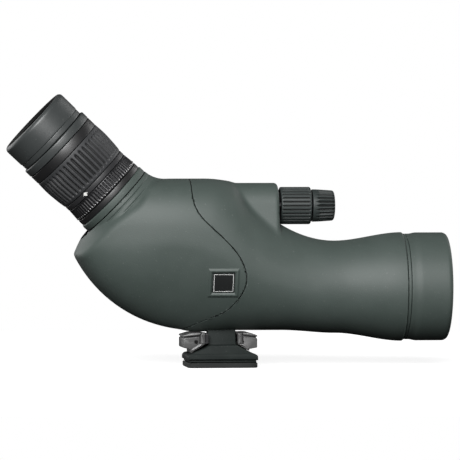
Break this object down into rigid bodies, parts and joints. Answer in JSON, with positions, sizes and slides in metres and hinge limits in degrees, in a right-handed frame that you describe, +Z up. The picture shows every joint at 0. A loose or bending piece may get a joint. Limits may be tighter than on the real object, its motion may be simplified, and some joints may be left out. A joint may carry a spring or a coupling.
{
  "type": "spotting scope",
  "caption": "Angled spotting scope with a zoom eyepiece, twist-up eyecup, coarse and fine focus knobs, a sliding sunshade and a tripod foot.",
  "frame": {"origin": "where the tripod screw's axis meets the underside of the foot", "axes": "+X along the optical axis towards the subject, +Y towards the user's left when looking along +X, +Z up"},
  "size_m": [0.2601, 0.066, 0.1604],
  "materials": {
    "armour": "satin grained rubber, dark grey-green",
    "foot_coating": "satin powder coat, dark grey-green",
    "badge": "satin, blank",
    "casting": "black anodised casting",
    "black_metal": "black anodised, satin",
    "gloss_black": "gloss",
    "black_rubber": "ribbed, matte",
    "glass": "coated optical glass",
    "brass": "turned",
    "steel": "turned",
    "grey_casting": "bead-blasted casting"
  },
  "bodies": {
    "housing": {"rear_armour": "armour", "front_armour": "armour", "neck_collar": "armour", "eyepiece_head": "armour", "foot": "foot_coating", "badge_plate": "badge", "prism_housing": "casting", "main_tube": "casting", "eyepiece_mount": "casting", "bulkhead": "black_metal", "prism_cheek_left": "black_metal", "prism_cheek_right": "black_metal", "guide_ring": "black_metal", "objective_cell": "black_metal", "objective_spacer": "black_metal", "objective_retainer": "black_metal", "index_band": "black_metal", "eyepiece_barrel": "black_metal", "field_stop": "black_metal", "eye_lens_retainer": "black_metal", "base_band": "gloss_black", "sunshade_stop": "black_rubber", "foot_pad": "black_rubber", "roof_prism": "glass", "objective_rear_lens": "glass", "objective_front_lens": "glass", "field_lens": "glass", "eye_lens": "glass", "shaft_bush_front": "brass", "shaft_bush_rear": "brass", "guide_rod_left": "steel", "guide_rod_right": "steel", "tripod_insert": "steel", "foot_screw_rear": "steel", "foot_screw_front": "steel", "clamp_jaw_rear": "grey_casting", "clamp_jaw_front": "grey_casting"},
    "lock_ring": {"lock_ring": "black_metal"},
    "zoom_ring": {"zoom_sleeve": "brass", "zoom_grip": "black_rubber", "zoom_scale_band": "gloss_black"},
    "zoom_cell": {"zoom_cell": "black_metal", "zoom_lens": "glass"},
    "eyecup_guide": {"eyecup_sleeve": "black_metal"},
    "eyecup": {"eyecup": "armour"},
    "coarse_knob": {"coarse_grip": "black_rubber", "coarse_hub": "black_metal", "coarse_shaft": "steel"},
    "fine_knob": {"fine_grip": "black_rubber", "fine_hub": "black_metal", "fine_spindle": "steel"},
    "focus_carriage": {"focus_carriage": "black_metal", "focusing_lens": "glass", "focus_retainer": "black_metal"},
    "sunshade": {"sunshade": "armour"}
  },
  "joints": [
    {"name": "zoom_turn", "type": "hinge", "parent": "housing", "child": "zoom_ring", "pos_m": [-0.0081, 0, 0.0467], "axis": [-0.7242, 0, 0.6896], "range_deg": [0, 130]},
    {"name": "zoom_cell_slide", "type": "slide", "parent": "housing", "child": "zoom_cell", "axis": [-0.7242, 0, 0.6896], "range_m": [0, 0.018]},
    {"name": "eyecup_twist", "type": "hinge", "parent": "eyecup_guide", "child": "eyecup", "pos_m": [-0.0081, 0, 0.0467], "axis": [-0.7242, 0, 0.6896], "range_deg": [0, 90]},
    {"name": "eyecup_slide", "type": "slide", "parent": "housing", "child": "eyecup_guide", "axis": [-0.7242, 0, 0.6896], "range_m": [0, 0.009]},
    {"name": "coarse_turn", "type": "hinge", "parent": "housing", "child": "coarse_knob", "pos_m": [0, 0, 0.0946], "axis": [1, 0, 0], "range_deg": [-270, 270]},
    {"name": "focus_slide", "type": "slide", "parent": "housing", "child": "focus_carriage", "axis": [1, 0, 0], "range_m": [-0.005, 0.005]},
    {"name": "fine_turn", "type": "hinge", "parent": "housing", "child": "fine_knob", "pos_m": [0, 0, 0.0946], "axis": [1, 0, 0], "range_deg": [-540, 540]},
    {"name": "sunshade_slide", "type": "slide", "parent": "housing", "child": "sunshade", "axis": [1, 0, 0], "range_m": [0, 0.018]},
    {"name": "lock_turn", "type": "hinge", "parent": "housing", "child": "lock_ring", "pos_m": [-0.0081, 0, 0.0467], "axis": [-0.7242, 0, 0.6896], "range_deg": [0, 40]}
  ],
  "couplings": [
    {"joint": "zoom_cell_slide", "follows": "zoom_turn", "m_per_rad": 0.0079},
    {"joint": "eyecup_slide", "follows": "eyecup_twist", "m_per_rad": 0.0057},
    {"joint": "focus_slide", "follows": "coarse_turn", "m_per_rad": 0.00106}
  ]
}
